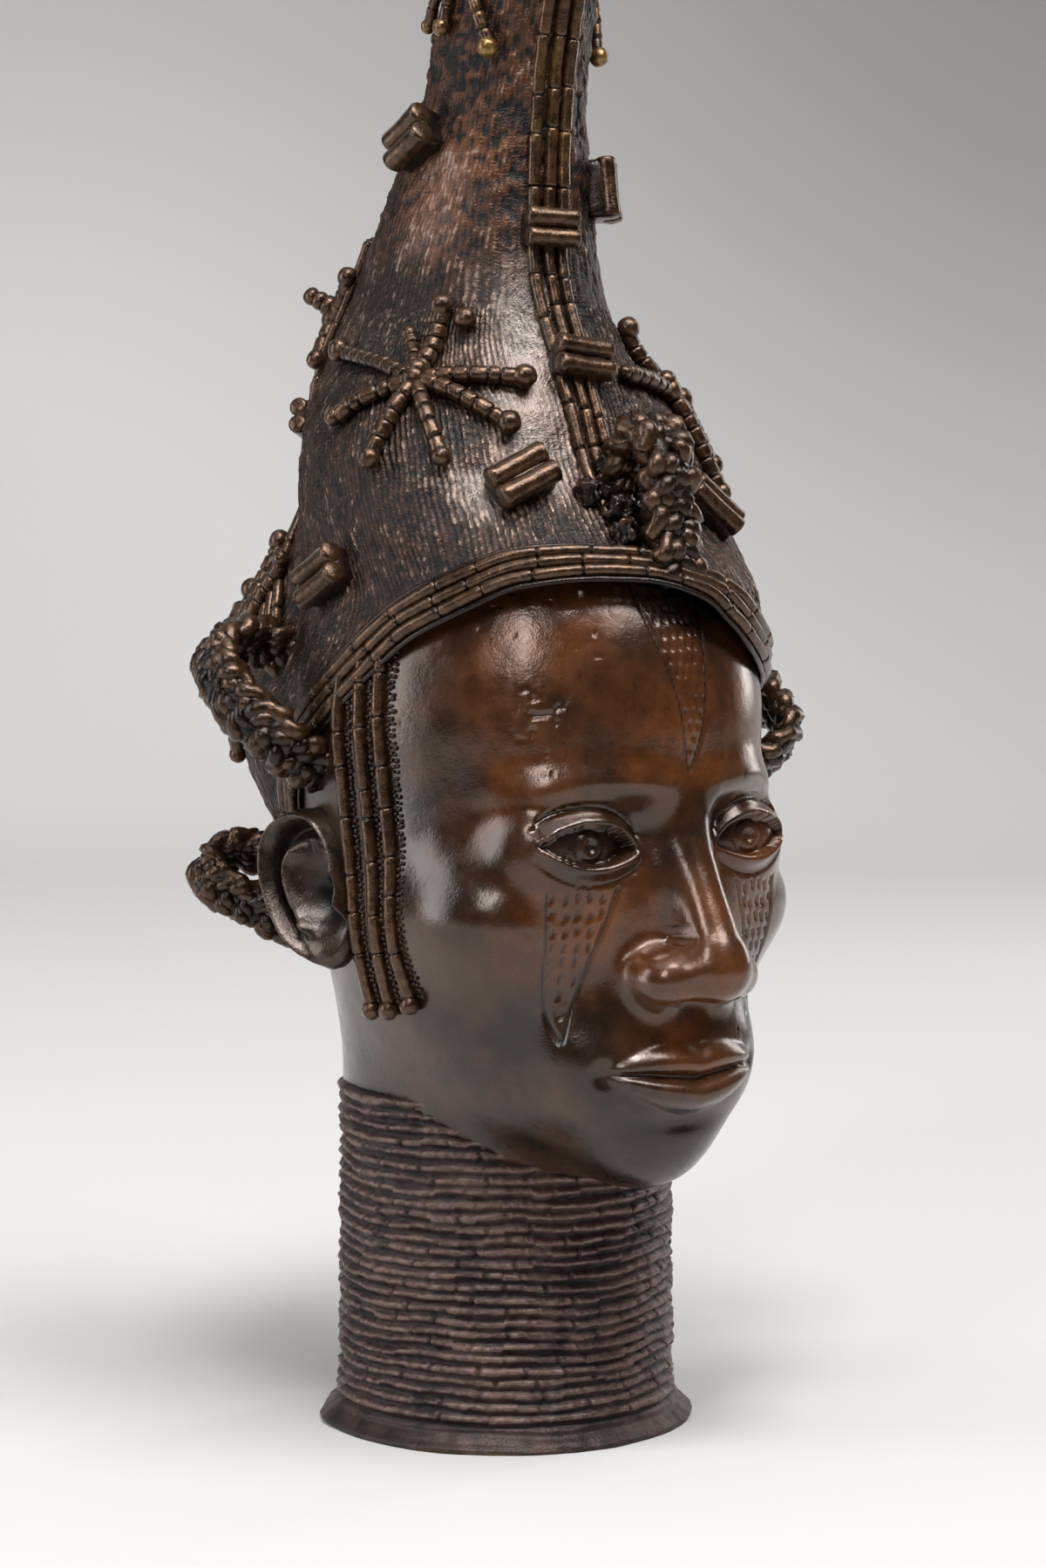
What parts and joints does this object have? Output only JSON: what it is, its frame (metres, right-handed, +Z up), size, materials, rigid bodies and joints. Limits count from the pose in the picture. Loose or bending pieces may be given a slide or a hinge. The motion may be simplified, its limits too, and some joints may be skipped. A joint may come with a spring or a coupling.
{
  "type": "bronze head sculpture",
  "caption": "Cast bronze head of the Benin kind with a tall netted cap, plaited loops, bead strips and stars, and a high bead collar on a flared foot; it stands on the foot.",
  "frame": {"origin": "centre of the collar's flat foot, on the surface that the head stands on", "axes": "+Z up through the cap, -Y the way the face looks, +X to the head's own left"},
  "size_m": [0.1897, 0.2028, 0.52],
  "materials": {
    "bronze": "dark brown patina, glossy on the face, worn to warm metal on raised beads"
  },
  "bodies": {
    "root": {"cast_head": "bronze"}
  },
  "joints": []
}
